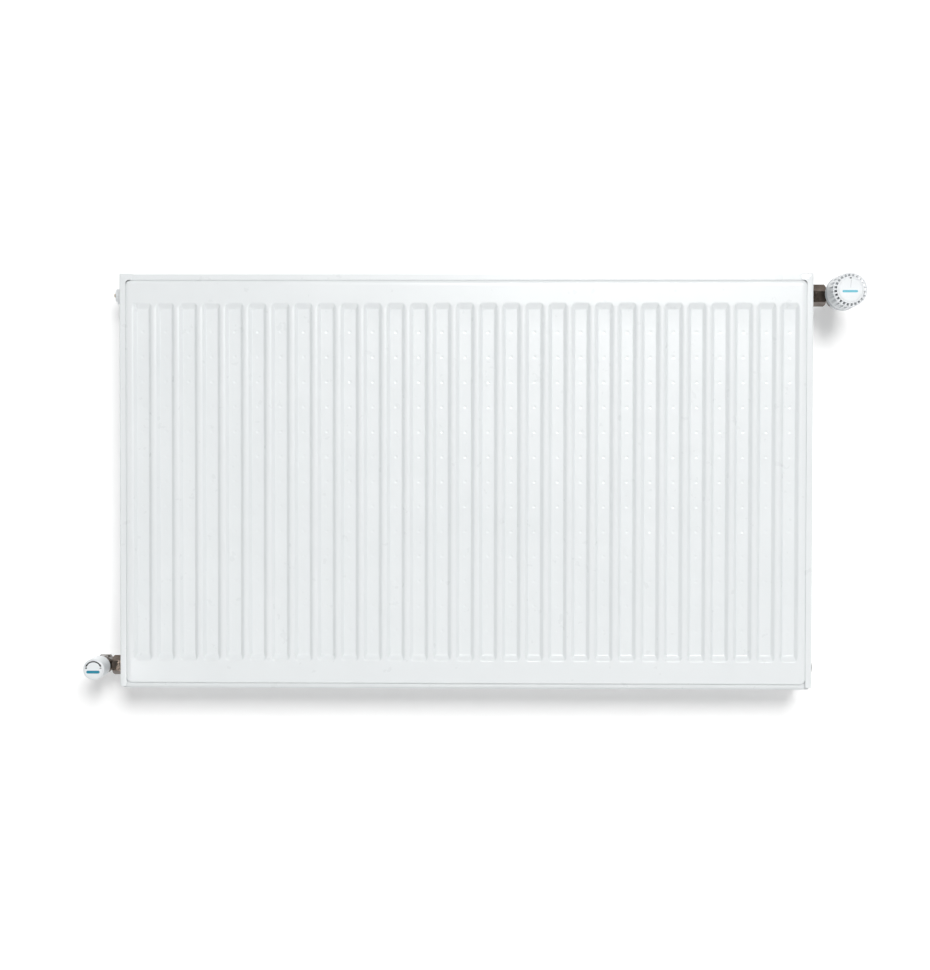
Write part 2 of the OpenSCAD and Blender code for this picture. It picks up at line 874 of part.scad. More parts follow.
module trv_push_rod() {
    color(white_plastic)
        on_trv() {
            rod(3, stem_end, sensor_s - stem_end - 2);
            rod(6, sensor_s - 2, 2);
        }
}

module trv_sensor() {
    color(grey_plastic)
        on_trv()
            rotate_extrude()
                polygon([
                    [0, sensor_s], [sensor_r - 1.5, sensor_s], [sensor_r, sensor_s + 1.5],
                    [sensor_r, sensor_s + sensor_l - 1.5], [sensor_r - 1.5, sensor_s + sensor_l],
                    [0, sensor_s + sensor_l]
                ]);
}

module trv_overtravel_spring() {
    color(steel)
        on_trv() spring(9, 0.7, sensor_s + sensor_l + 0.05, wheel_inner - sensor_s - sensor_l - 0.1, 3);
}

// One air slot, cut through behind the rim and running out to nothing along the side
module air_slot() {
    deep = head_back_r - wheel_bore_r - 2;
    translate([0, head_slot_w / 2, 0])
        rotate([90, 0, 0])
            linear_extrude(head_slot_w)
                polygon([
                    [wheel_bore_r - 1, wheel_front - 14], [wheel_bore_r - 1, wheel_front - 5],
                    [face_r + 2.2, wheel_front - 5], [face_r + 2.2, wheel_front + 1],
                    [head_back_r + 1, wheel_front + 1], [head_back_r + 1, wheel_front - head_slot_l],
                    [head_back_r - 0.4, wheel_front - head_slot_l], [head_back_r - deep, wheel_front - 14]
                ]);
}

module trv_handwheel() {
    back_r = head_back_r - 0.4;
    rim_drop = 3;
    color(white_plastic)
        on_trv() {
            difference() {
                rotate_extrude()
                    polygon([
                        [wheel_bore_r, wheel_back], [back_r, wheel_back],
                        [head_front_r, wheel_front - rim_drop], [face_r + 1, wheel_front],
                        [face_r + 0.15, wheel_front], [face_r + 0.15, wheel_front - face_t],
                        [0, wheel_front - face_t], [0, wheel_inner],
                        [wheel_bore_r, wheel_inner]
                    ]);
                for (i = [0 : head_slots - 1])
                    rotate([0, 0, head_slot_turn + 360 * i / head_slots]) air_slot();
            }
            rotate_extrude()
                polygon([
                    [head_front_r - 1.1, wheel_front - rim_drop + 0.35],
                    [head_front_r, wheel_front - rim_drop],
                    [head_front_r, wheel_front - rim_drop - 1.4],
                    [head_front_r - 1.1, wheel_front - rim_drop - 1.4]
                ]);
        }
}

module trv_face_disc() {
    color(white_plastic)
        on_trv() {
            rotate_extrude()
                polygon([
                    [0, wheel_front - face_t], [face_r, wheel_front - face_t], [face_r, wheel_front - 0.4],
                    [face_r - 0.4, wheel_front], [0, wheel_front]
                ]);
        }
}

// ---- Return valve ---------------------------------------------------------------------------
module return_tailpiece() {
    color(bronze) on_left(-hub_z) tailpiece(return_nut_end, return_nut_l, return_end_r, return_bore_r);
}

module return_tail_seal() {
    color(rubber) on_left(-hub_z) tail_seal(return_nut_end, return_nut_l, return_end_r, return_bore_r);
}

module return_union_nut() {
    color(bronze)
        on_left(-hub_z)
            union_nut(return_nut_af, return_nut_end, return_nut_l, return_end_r, return_bore_r);
}

module return_body() {
    color(bronze)
        difference() {
            union() {
                on_left(-hub_z)
                    spigot(
                        return_reach, return_nut_end, return_nut_l, return_end_r,
                        return_neck_r, return_barrel_r - 0.5
                    );
                on_return() {
                    rod(return_barrel_r, -return_inlet + 10, return_inlet - 10 + return_barrel_front);
                    chamfered_hex(2 * return_barrel_r - 1, -return_inlet, 12);
                }
            }
            on_left(-hub_z)
                rod(return_bore_r, return_nut_end - return_nut_l, return_reach - return_nut_end + return_nut_l);
            on_return() {
                rod(thread_r, -return_inlet - 1, thread_l - 1);
                rod(plug_r - 1, -return_inlet, return_inlet);
                rod(return_chamber_r, return_seat_s, 30);
            }
        }
}

module return_bonnet() {
    color(brass)
        on_return()
            difference() {
                union() {
                    rod(return_chamber_r - thread_gap, 7, return_barrel_front - 6);
                    hex_bar(18, return_barrel_front, 3);
                    rod(6, return_barrel_front + 2, 8);
                }
                rod(plug_r + 0.05, 0, 13);
                rod(4.6, 12, 3.1);
                rod(spindle_r + 0.05, 0, 60);
                rod(3.95, 20, 20);
            }
}

module return_spindle_o_ring() {
    color(rubber) on_return() o_ring(3.25, 0.68, 21);
}

module return_spindle() {
    color(steel)
        on_return()
            difference() {
                union() {
                    translate([-drive_square / 2, -drive_square / 2, plug_s + 2.6])
                        cube([drive_square, drive_square, 13.5 - plug_s - 2.6]);
                    rod(4.5, 13.1, 1.9);
                    rod(spindle_r, 14, knob_back + 8 - 14);
                    intersection() {
                        rod(spindle_r, knob_back + 8, spindle_end - knob_back - 8);
                        translate([-spindle_r, -spindle_r + 0.8, 0])
                            cube([2 * spindle_r, 2 * spindle_r, 80]);
                    }
                }
                rod(1.25, spindle_end - 9, 20);
            }
}

module return_plug() {
    color(brass)
        on_return()
            difference() {
                rod(plug_r, plug_s, plug_l);
                translate([-drive_square / 2 - 0.1, -drive_square / 2 - 0.1, plug_s + 1])
                    cube([drive_square + 0.2, drive_square + 0.2, plug_l]);
            }
}

module return_plug_washer() {
    color(rubber) on_return() rod(plug_r - 0.1, plug_s - plug_washer_t, plug_washer_t);
}

module return_knob() {
    hub_s = knob_back + 8.5;
    color(white_plastic)
        on_return()
            difference() {
                union() {
                    rotate_extrude()
                        polygon([
                            [knob_r - knob_wall, knob_back], [knob_r - 0.3, knob_back], [knob_r, knob_back + 0.3],
                            [knob_r, knob_front - 1.2], [knob_r - 1.2, knob_front],
                            [knob_face_r + 0.15, knob_front],
                            [knob_face_r + 0.15, knob_front - knob_face_t], [0, knob_front - knob_face_t],
                            [0, knob_front - 4], [knob_r - knob_wall, knob_front - 4]
                        ]);
                    rod(5.5, hub_s, knob_front - 3 - hub_s);
                    for (a = [0 : 60 : 300])
                        rotate([0, 0, a])
                            translate([5, -0.6, knob_back + 10])
                                cube([knob_r - knob_wall - 4.5, 1.2, knob_l - 13]);
                }
                intersection() {
                    rod(spindle_r + 0.03, 0, spindle_end);
                    translate([-10, -spindle_r + 0.77, 0]) cube([20, 20, 80]);
                }
                rod(1.5, 0, 80);
                rod(3.2, spindle_end + 3, 20);
            }
}

module return_knob_screw() {
    color(steel)
        on_return()
            difference() {
                union() {
                    rod(1.22, spindle_end - 8, 11.5);
                    rod(2.9, spindle_end + 3, 2.4);
                }
                translate([-4, -0.4, spindle_end + 4.4]) cube([8, 0.8, 3]);
            }
}

module return_knob_face() {
    color(white_plastic)
        on_return()
            rotate_extrude()
                polygon([
                    [0, knob_front - knob_face_t], [knob_face_r, knob_front - knob_face_t],
                    [knob_face_r, knob_front - 0.3], [knob_face_r - 0.3, knob_front], [0, knob_front]
                ]);
}

front_panel_outer();
front_panel_inner();
rear_panel_inner();
rear_panel_outer();
front_convector();
rear_convector();
place_tee(-1, 1);  // header_tee_top_left
place_tee(1, 1);  // header_tee_top_right
place_tee(-1, -1);  // header_tee_bottom_left
place_tee(1, -1);  // header_tee_bottom_right
side_cover_left();
side_cover_right();
top_grille();
place_lug(-1, 1);  // hanging_lug_top_left
place_lug(1, 1);  // hanging_lug_top_right
place_lug(-1, -1);  // hanging_lug_bottom_left
place_lug(1, -1);  // hanging_lug_bottom_right
blanking_plug();
blanking_plug_seal();
vent_plug();
vent_plug_seal();
vent_screw();
vent_screw_o_ring();
vent_outlet_ring();
trv_tailpiece();
trv_tail_seal();
trv_union_nut();
trv_body();
trv_bonnet();
trv_gland_nut();
trv_gland_o_ring();
trv_stem();
trv_disc();
trv_disc_washer();
trv_return_spring();
trv_collar_nut();
trv_head_base();
trv_push_rod();
trv_sensor();
trv_overtravel_spring();
trv_handwheel();
trv_face_disc();
return_tailpiece();
return_tail_seal();
return_union_nut();
return_body();
return_bonnet();
return_spindle_o_ring();
return_spindle();
return_plug();
return_plug_washer();
return_knob();
return_knob_screw();
return_knob_face();
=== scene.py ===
import json
import math

import bmesh
import bpy
from mathutils import Matrix, Vector


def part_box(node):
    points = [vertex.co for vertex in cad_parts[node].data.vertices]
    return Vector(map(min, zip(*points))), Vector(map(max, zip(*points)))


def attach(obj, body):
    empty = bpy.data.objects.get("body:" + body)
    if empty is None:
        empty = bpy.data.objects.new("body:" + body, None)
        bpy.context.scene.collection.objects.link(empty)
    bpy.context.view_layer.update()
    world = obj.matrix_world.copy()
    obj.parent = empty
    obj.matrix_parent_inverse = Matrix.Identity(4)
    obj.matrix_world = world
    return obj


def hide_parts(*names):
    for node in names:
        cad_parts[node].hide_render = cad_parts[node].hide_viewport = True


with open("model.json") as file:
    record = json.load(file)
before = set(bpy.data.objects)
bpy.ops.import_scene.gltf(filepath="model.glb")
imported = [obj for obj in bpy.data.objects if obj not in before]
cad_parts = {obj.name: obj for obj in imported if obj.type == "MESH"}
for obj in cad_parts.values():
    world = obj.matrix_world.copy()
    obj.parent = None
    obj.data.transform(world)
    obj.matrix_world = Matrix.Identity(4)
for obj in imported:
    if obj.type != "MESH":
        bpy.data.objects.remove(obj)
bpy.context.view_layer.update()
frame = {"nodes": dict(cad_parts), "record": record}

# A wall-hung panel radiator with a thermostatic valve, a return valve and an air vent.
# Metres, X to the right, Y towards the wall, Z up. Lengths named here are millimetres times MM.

MM = 0.001
nodes = frame["nodes"]


# ---- Places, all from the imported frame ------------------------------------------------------

def low(node):
    return Vector(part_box(node)[0])


def high(node):
    return Vector(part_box(node)[1])


def middle(node):
    return (low(node) + high(node)) / 2


# The valves' axes run along Y through the middles of the head and the knob.
trv_axis = middle("trv_face_disc")
return_axis = middle("return_knob_face")
mid_y = middle("trv_union_nut").y
hub_z = middle("trv_union_nut").z


def axis_frame(origin, x_axis, z_axis):
    """The matrix of a local frame with its origin, x axis and z axis in the row frame."""
    x, z = Vector(x_axis), Vector(z_axis)
    y = z.cross(x)
    turn = Matrix((x, y, z)).transposed().to_4x4()
    return Matrix.Translation(origin) @ turn


# Local z runs out of the valve towards the room, from the hub axis.
ON_TRV = axis_frame((trv_axis.x, mid_y, hub_z), (1, 0, 0), (0, -1, 0))
ON_RETURN = axis_frame((return_axis.x, mid_y, -hub_z), (1, 0, 0), (0, -1, 0))


# ---- Materials ------------------------------------------------------------------------------

def new_material(name, color, roughness, metallic=0.0, **sockets):
    """A Principled material whose even values sit on the shader's own sockets."""
    material = bpy.data.materials.new(name)
    material.use_nodes = True
    shader = material.node_tree.nodes["Principled BSDF"]
    shader.inputs["Base Color"].default_value = (*color, 1)
    shader.inputs["Roughness"].default_value = roughness
    shader.inputs["Metallic"].default_value = metallic
    for socket, value in sockets.items():
        shader.inputs[socket.replace("_", " ")].default_value = value
    return material, shader


def add_node(material, kind, **inputs):
    node = material.node_tree.nodes.new(kind)
    for socket, value in inputs.items():
        node.inputs[socket.replace("_", " ")].default_value = value
    return node


def object_noise(material, scale, detail=3.0, stretch=(1, 1, 1)):
    """A noise in object coordinates, so that it stays with the piece. scale is in waves a metre."""
    links = material.node_tree.links
    coordinates = add_node(material, "ShaderNodeTexCoord")
    mapping = add_node(material, "ShaderNodeMapping", Scale=stretch)
    noise = add_node(material, "ShaderNodeTexNoise", Scale=scale, Detail=detail)
    links.new(coordinates.outputs["Object"], mapping.inputs["Vector"])
    links.new(mapping.outputs["Vector"], noise.inputs["Vector"])
    return noise


def vary_color(material, shader, noise, dark, light, low_at=0.35, high_at=0.65):
    ramp = add_node(material, "ShaderNodeValToRGB")
    ramp.color_ramp.elements[0].position = low_at
    ramp.color_ramp.elements[0].color = (*dark, 1)
    ramp.color_ramp.elements[1].position = high_at
    ramp.color_ramp.elements[1].color = (*light, 1)
    material.node_tree.links.new(noise.outputs["Fac"], ramp.inputs["Fac"])
    material.node_tree.links.new(ramp.outputs["Color"], shader.inputs["Base Color"])
    return ramp


def vary_roughness(material, shader, noise, least, most):
    spread = add_node(material, "ShaderNodeMapRange", To_Min=least, To_Max=most)
    spread.inputs["From Min"].default_value = 0.3
    spread.inputs["From Max"].default_value = 0.7
    material.node_tree.links.new(noise.outputs["Fac"], spread.inputs["Value"])
    material.node_tree.links.new(spread.outputs["Result"], shader.inputs["Roughness"])


def add_bump(material, shader, noise, distance, strength=1.0):
    bump = add_node(material, "ShaderNodeBump", Strength=strength, Distance=distance)
    material.node_tree.links.new(noise.outputs["Fac"], bump.inputs["Height"])
    material.node_tree.links.new(bump.outputs["Normal"], shader.inputs["Normal"])


def make_paint():
    """Baked white enamel: slightly cool, glossy, with a faint orange peel."""
    material, shader = new_material(
        "white_enamel", (0.8, 0.8, 0.8), 0.3, Coat_Weight=0.25, Coat_Roughness=0.12
    )
    patches = object_noise(material, 9.0, 2.0)
    vary_color(material, shader, patches, (0.775, 0.803, 0.812), (0.79, 0.817, 0.826))
    vary_roughness(material, shader, object_noise(material, 60.0, 4.0), 0.27, 0.36)
    add_bump(material, shader, object_noise(material, 420.0, 2.0), 0.00003, 0.35)
    return material


def make_plastic(name, dark, light, roughness):
    """Moulded plastic with a fine even grain."""
    material, shader = new_material(name, light, roughness)
    vary_color(material, shader, object_noise(material, 45.0, 2.0), dark, light)
    grain = object_noise(material, 300.0, 3.0)
    vary_roughness(material, shader, grain, roughness - 0.05, roughness + 0.07)
    add_bump(material, shader, object_noise(material, 2200.0, 2.0), 0.00002, 0.3)
    return material


def make_bronze():
    """Darkened bronze: a brown-black skin, a little lighter in patches, over turned and wrenched metal."""
    material, shader = new_material("dark_bronze", (0.1, 0.08, 0.06), 0.3, 1.0)
    skin = object_noise(material, 90.0, 3.0)
    vary_color(material, shader, skin, (0.085, 0.066, 0.054), (0.16, 0.13, 0.108), 0.35, 0.7)
    vary_roughness(material, shader, object_noise(material, 260.0, 5.0), 0.16, 0.28)
    add_bump(material, shader, object_noise(material, 900.0, 3.0), 0.00002, 0.3)
    return material


def make_metal(name, dark, light, roughness, stretch):
    """Turned or drawn metal, with its tool marks along one direction."""
    material, shader = new_material(name, light, roughness, 1.0)
    marks = object_noise(material, 500.0, 4.0, stretch)
    vary_color(material, shader, marks, dark, light)
    wear = object_noise(material, 120.0, 3.0)
    vary_roughness(material, shader, wear, roughness - 0.06, roughness + 0.1)
    add_bump(material, shader, marks, 0.00003, 0.3)
    return material


def make_rubber():
    material, shader = new_material("rubber", (0.03, 0.03, 0.032), 0.7)
    bloom = object_noise(material, 200.0, 4.0)
    vary_color(material, shader, bloom, (0.022, 0.022, 0.024), (0.045, 0.045, 0.047))
    add_bump(material, shader, object_noise(material, 1500.0, 3.0), 0.00005, 0.5)
    return material


def make_ink(name, dark, light):
    """Pad-printed ink, a little uneven."""
    material, shader = new_material(name, light, 0.45)
    vary_color(material, shader, object_noise(material, 900.0, 4.0), dark, light)
    vary_roughness(material, shader, object_noise(material, 1500.0, 2.0), 0.38, 0.55)
    return material


PAINT = make_paint()
WHITE = make_plastic("white_plastic", (0.76, 0.785, 0.8), (0.8, 0.825, 0.84), 0.34)
GREY = make_plastic("grey_plastic", (0.5, 0.53, 0.55), (0.56, 0.59, 0.61), 0.38)
BRONZE = make_bronze()
BRASS = make_metal("brass", (0.6, 0.43, 0.2), (0.78, 0.6, 0.32), 0.3, (1, 6, 1))
STEEL = make_metal("spring_steel", (0.45, 0.46, 0.47), (0.66, 0.67, 0.68), 0.3, (1, 8, 1))
RUBBER = make_rubber()
BLACK_INK = make_ink("black_ink", (0.012, 0.013, 0.014), (0.03, 0.032, 0.034))
GREY_INK = make_ink("grey_ink", (0.2, 0.215, 0.22), (0.27, 0.285, 0.29))
BLUE_INK = make_ink("turquoise_ink", (0.004, 0.2, 0.31), (0.01, 0.26, 0.38))
PALE_INK = make_ink("pale_turquoise_ink", (0.1, 0.46, 0.58), (0.14, 0.52, 0.64))

SLOT_MATERIALS = {
    "painted_steel": PAINT, "white_plastic": WHITE, "grey_plastic": GREY, "dark_bronze": BRONZE,
    "brass": BRASS, "spring_steel": STEEL, "rubber": RUBBER,
}
BODY_OF_NODE = {n: b for b, names in frame["record"]["behaviour"]["bodies"].items() for n in names}
SLOT_OF_NODE = {s["node"]: s["material_slot"] for s in frame["record"]["subparts"]}


# ---- Mesh tools -----------------------------------------------------------------------------

def add_piece(name, mesh, material, stands_for, smooth=35.0, body=None):
    """Puts a finished mesh in the scene: shaded, riding on its body and standing for its CAD nodes."""
    piece = bpy.data.objects.new(name, mesh)
    bpy.context.scene.collection.objects.link(piece)
    mesh.materials.clear()
    mesh.materials.append(material)
    mesh.polygons.foreach_set("use_smooth", [True] * len(mesh.polygons))
    mesh.set_sharp_from_angle(angle=math.radians(smooth))
    names = [stands_for] if isinstance(stands_for, str) else list(stands_for or [])
    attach(piece, body or BODY_OF_NODE[names[0]])
    if names:
        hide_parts(*names)
    return piece


def to_mesh(name, form, place=None):
    """A bmesh as a mesh, its normals outwards, moved by the matrix place."""
    bmesh.ops.recalc_face_normals(form, faces=form.faces)
    if place is not None:
        form.transform(place)
    mesh = bpy.data.meshes.new(name)
    form.to_mesh(mesh)
    form.free()
    return mesh


def rounded(points, steps=4, closed=False):
    """An outline with its corners rounded. A point is (a, b), or (a, b, r) to round it by about r."""
    count = len(points)
    out = []
    for i, point in enumerate(points):
        here = Vector(point[:2])
        radius = point[2] if len(point) > 2 else 0
        inner = closed or 0 < i < count - 1
        if not radius or not inner:
            out.append(here)
            continue
        before = Vector(points[i - 1][:2]) - here
        after = Vector(points[(i + 1) % count][:2]) - here
        start = here + before.normalized() * min(radius, before.length * 0.48)
        end = here + after.normalized() * min(radius, after.length * 0.48)
        for k in range(steps + 1):
            t = k / steps
            out.append(start * (1 - t) ** 2 + here * (2 * t * (1 - t)) + end * t ** 2)
    return [(p.x, p.y) for p in out]


def join_rings(form, first, second, closed=True, skip=None):
    """Quads between two rings of vertices; a ring of one vertex is a pole. skip(i) leaves a quad out."""
    count = max(len(first), len(second))
    for i in range(count if closed else count - 1):
        if skip and skip(i):
            continue
        k = (i + 1) % count
        corners = [
            first[i % len(first)], first[k % len(first)], second[k % len(second)], second[i % len(second)],
        ]
        unique = [v for j, v in enumerate(corners) if v not in corners[:j]]
        if len(unique) > 2:
            form.faces.new(unique)


def revolve(name, outline, place, turns=96, shape=None, closed=True):
    """Turns an outline of (radius, height), in mm, about the local z axis.
    shape(angle, radius, height) gives a new (radius, height) where the piece isn't round."""
    form = bmesh.new()
    rings = []
    for radius, height in outline:
        if radius < 1e-6:
            rings.append([form.verts.new((0, 0, height * MM))])
            continue
        ring = []
        for k in range(turns):
            angle = 2 * math.pi * k / turns
            r, h = shape(angle, radius, height) if shape else (radius, height)
            ring.append(form.verts.new((r * MM * math.cos(angle), r * MM * math.sin(angle), h * MM)))
        rings.append(ring)
    for first, second in zip(rings, rings[1:]):
        join_rings(form, first, second)
    if closed and len(rings[0]) > 1:
        join_rings(form, rings[-1], rings[0])
    return to_mesh(name, form, place)


def settle(piece):
    """Applies a piece's modifiers to its mesh."""
    graph = bpy.context.evaluated_depsgraph_get()
    mesh = bpy.data.meshes.new_from_object(piece.evaluated_get(graph))
    old = piece.data
    piece.modifiers.clear()
    piece.data = mesh
    bpy.data.meshes.remove(old)


def combine(name, base, others, operation):
    """The mesh of base joined to, or cut by, the other meshes in turn."""
    holder = bpy.data.objects.new(name, base)
    bpy.context.scene.collection.objects.link(holder)
    tools = []
    for mesh in others:
        tool = bpy.data.objects.new(name + "_tool", mesh)
        bpy.context.scene.collection.objects.link(tool)
        cut = holder.modifiers.new("combine", "BOOLEAN")
        cut.operation = operation
        cut.solver = "EXACT"
        cut.object = tool
        tools.append(tool)
    settle(holder)
    result = holder.data
    for thing in [holder, *tools]:
        bpy.data.objects.remove(thing)
    for mesh in others:
        bpy.data.meshes.remove(mesh)
    return result


# ---- Pressed panels -------------------------------------------------------------------------
SHEET = 1.2
POCKET_DEPTH = 5.5
PITCH = 33.333
MOUTH_HALF = 13.4
WALL_RUN = 5.4
END_RUN = 10.0
CORNER_R = 7.0
POCKET_TOP, POCKET_BOTTOM = 258.1, -260.4
FACE_HALF, FACE_TOP, FACE_BOTTOM = 489.0, 289.0, -292.0
FACE_CORNER = 6.5
FLANGE_CORNER = 4.0
WELD_SPACING = 36.0
WELD_HALF = 2.9
WELD_R = 2.3
WELD_DEPTH = 0.3
POCKETS_EACH_SIDE = 14
# The shoulder from the face down to the seam flange, as (distance out, depth). It rolls gently
# at the top and the sides, and steps down at the bottom.
TOP_SHOULDER = [
    (0.8, 0.0), (2.2, 0.05), (3.4, 0.2), (4.6, 0.5), (5.7, 0.95), (6.6, 1.5), (7.4, 2.2), (8.1, 3.05),
    (8.7, 4.0), (9.4, 5.0), (10.4, 5.5),
]
SIDE_SHOULDER = [
    (0.8, 0.0), (2.4, 0.05), (3.8, 0.18), (5.2, 0.42), (6.4, 0.75), (7.5, 1.2), (8.4, 1.75), (9.1, 2.6),
    (9.6, 3.6), (10.1, 4.7), (10.8, 5.5),
]
STEP_SHOULDER = [
    (2.0, 0.0), (3.6, 0.0), (4.6, 0.03), (5.4, 0.2), (6.0, 0.65), (6.4, 1.4), (6.6, 2.6), (6.75, 4.0),
    (7.0, 5.0), (7.4, 5.4), (8.2, 5.5),
]


def press(t):
    """The pressed wall from its rim at 0 to the floor at 1, with both bends rounded."""
    t = min(max(t, 0.0), 1.0)
    return 0.55 * (t * t * (3 - 2 * t)) + 0.45 * t if 0.12 < t < 0.88 else t * t * (3 - 2 * t)


def pocket_depth(off_x, z):
    """Depth of the panel's face, in mm, off_x from a pocket's centre line."""
    side = MOUTH_HALF - abs(off_x)
    end = min(POCKET_TOP - z, z - POCKET_BOTTOM)
    if side <= 0 or end <= 0:
        return 0.0
    inside = min(side, end * WALL_RUN / END_RUN)
    if side < CORNER_R and end < CORNER_R:
        inside = min(inside, CORNER_R - math.hypot(CORNER_R - side, CORNER_R - end))
    return POCKET_DEPTH * press(inside / WALL_RUN)


def panel_columns():
    offsets = [WELD_HALF, 7.3, 8.1, 8.9, 9.8, 10.8, 11.8, 12.6, 13.3]
    near = sorted([-o for o in offsets] + offsets)
    centres = [i * PITCH for i in range(-POCKETS_EACH_SIDE, POCKETS_EACH_SIDE + 1)]
    edge = FACE_HALF - FACE_CORNER
    return [-edge] + [c + o for c in centres for o in near] + [edge], centres


def panel_rows():
    ends = [-2.5, -0.5, 0.1, 0.8, 1.6, 2.6, 3.8, 5.0, 6.2, 7.4, 8.4, 9.3, 10.2]
    welds_each_side = int((POCKET_TOP - END_RUN - WELD_HALF) // WELD_SPACING)
    welds = [i * WELD_SPACING for i in range(-welds_each_side, welds_each_side + 1)]
    rows = [POCKET_BOTTOM + e for e in ends] + [POCKET_TOP - e for e in ends]
    rows += [w + o for w in welds for o in (-WELD_HALF, WELD_HALF)]
    rows += [FACE_BOTTOM + FACE_CORNER, FACE_TOP - FACE_CORNER]
    return sorted(rows), welds


def weld_mark(form, corners, x, z, depth, point):
    """A round dimple in the middle of one square of a pocket's floor."""
    sides = 12
    def ring(radius, down):
        return [
            form.verts.new(point(x + radius * math.cos(2 * math.pi * k / sides + math.pi / 4),
                                 z + radius * math.sin(2 * math.pi * k / sides + math.pi / 4), depth + down))
            for k in range(sides)
        ]
    rim, bowl = ring(WELD_R, 0.0), ring(WELD_R * 0.62, WELD_DEPTH * 0.8)
    centre = form.verts.new(point(x, z, depth + WELD_DEPTH))
    step = sides // 4
    for q in range(4):
        here, after = corners[q], corners[(q + 1) % 4]
        arc = [rim[(q * step + k) % sides] for k in range(step + 1)]
        form.faces.new([here, *arc, after][::-1])
    join_rings(form, rim, bowl)
    join_rings(form, bowl, [centre])


def pressed_sheet(name, node, face_y, inward):
    """One outer sheet of a panel, with its pockets, weld marks, shoulder and seam flange.
    inward is +1 where the sheet's inside is towards +Y, and -1 where it is towards -Y."""
    lo, hi = low(node) / MM, high(node) / MM
    columns, centres = panel_columns()
    rows, welds = panel_rows()

    def point(x, z, depth):
        return (x * MM, face_y + inward * depth * MM, z * MM)

    def nearest(x):
        return min(max(round(x / PITCH), -POCKETS_EACH_SIDE), POCKETS_EACH_SIDE) * PITCH

    form = bmesh.new()
    grid = [[form.verts.new(point(x, z, pocket_depth(x - nearest(x), z))) for x in columns] for z in rows]
    weld_rows = {round(w - WELD_HALF, 3): w for w in welds}
    weld_columns = {round(c - WELD_HALF, 3): c for c in centres}
    for j in range(len(rows) - 1):
        for i in range(len(columns) - 1):
            corners = [grid[j][i], grid[j][i + 1], grid[j + 1][i + 1], grid[j + 1][i]]
            weld_z = weld_rows.get(round(rows[j], 3))
            weld_x = weld_columns.get(round(columns[i], 3))
            if weld_z is None or weld_x is None:
                form.faces.new(corners)
            else:
                turned = [corners[2], corners[3], corners[0], corners[1]]
                weld_mark(form, turned, weld_x, weld_z, POCKET_DEPTH, point)

    # The border runs round the grid; its corners fan out into arcs.
    border = [(grid[0][i], (0, -1)) for i in range(len(columns))]
    border += [(grid[j][-1], (1, 0)) for j in range(len(rows))]
    border += [(grid[-1][i], (0, 1)) for i in reversed(range(len(columns)))]
    border += [(grid[j][0], (-1, 0)) for j in reversed(range(len(rows)))]
    around = []
    arc_steps = 6
    for k, (vertex, way) in enumerate(border):
        around.append((vertex, Vector(way)))
        if border[(k + 1) % len(border)][0] is vertex:
            start = math.atan2(way[1], way[0])
            for step in range(1, arc_steps):
                angle = start + math.pi / 2 * step / arc_steps
                around.append((vertex, Vector((math.cos(angle), math.sin(angle)))))

    def outer_edge(base, way):
        """Where this direction meets the seam flange's outer edge."""
        x_edge = hi.x if way.x > 0 else lo.x
        z_edge = hi.z if way.y > 0 else lo.z
        if abs(way.x) > 0.999:
            return x_edge, base.z / MM
        if abs(way.y) > 0.999:
            return base.x / MM, z_edge
        centre_x = x_edge - math.copysign(FLANGE_CORNER, way.x)
        centre_z = z_edge - math.copysign(FLANGE_CORNER, way.y)
        return centre_x + FLANGE_CORNER * way.x, centre_z + FLANGE_CORNER * way.y

    previous = [vertex for vertex, _ in around]
    for top, beside, below in zip(TOP_SHOULDER, SIDE_SHOULDER, STEP_SHOULDER):
        ring = []
        for vertex, way in around:
            other = top if way.y > 0 else below
            share = way.y ** 2
            out, depth = [a + (b - a) * share for a, b in zip(beside, other)]
            x, z = vertex.co.x / MM + way.x * out, vertex.co.z / MM + way.y * out
            ring.append(form.verts.new(point(x, z, depth)))
        join_rings(form, previous, ring)
        previous = ring
    edge = [form.verts.new(point(*outer_edge(vertex.co, way), POCKET_DEPTH)) for vertex, way in around]
    join_rings(form, previous, edge)

    bmesh.ops.remove_doubles(form, verts=form.verts, dist=1e-6)
    bmesh.ops.recalc_face_normals(form, faces=form.faces)
    if sum(face.normal.y for face in form.faces) * inward > 0:
        bmesh.ops.reverse_faces(form, faces=form.faces)
    mesh = bpy.data.meshes.new(name)
    form.to_mesh(mesh)
    form.free()
    piece = add_piece(name, mesh, PAINT, node, smooth=60)
    wall = piece.modifiers.new("sheet", "SOLIDIFY")
    wall.thickness = SHEET * MM
    wall.offset = -1
    return piece


pressed_sheet("front_sheet_pressed", "front_panel_outer", low("front_panel_outer").y, 1)
pressed_sheet("rear_sheet_pressed", "rear_panel_outer", high("rear_panel_outer").y, -1)


# ---- Side covers ----------------------------------------------------------------------------
COVER_SHEET = 1.0
COVER_BORE = 17.0
FOLD = 2.6
LIP_WIDTH = 9.0
LIP_DROP = 9.5
LIP_CORNER = 6.0


def cover_profile(front, back):
    """A cover's section, as (inset from its outer face, y): a channel with two folds, a sheet thick."""
    sheet = COVER_SHEET
    outside = rounded([(LIP_WIDTH, front), (0, front, FOLD), (0, back, FOLD), (LIP_WIDTH, back)], 5)
    inside = rounded([
        (LIP_WIDTH, back - sheet), (sheet, back - sheet, FOLD - sheet), (sheet, front + sheet, FOLD - sheet),
        (LIP_WIDTH, front + sheet),
    ], 5)
    return outside + inside


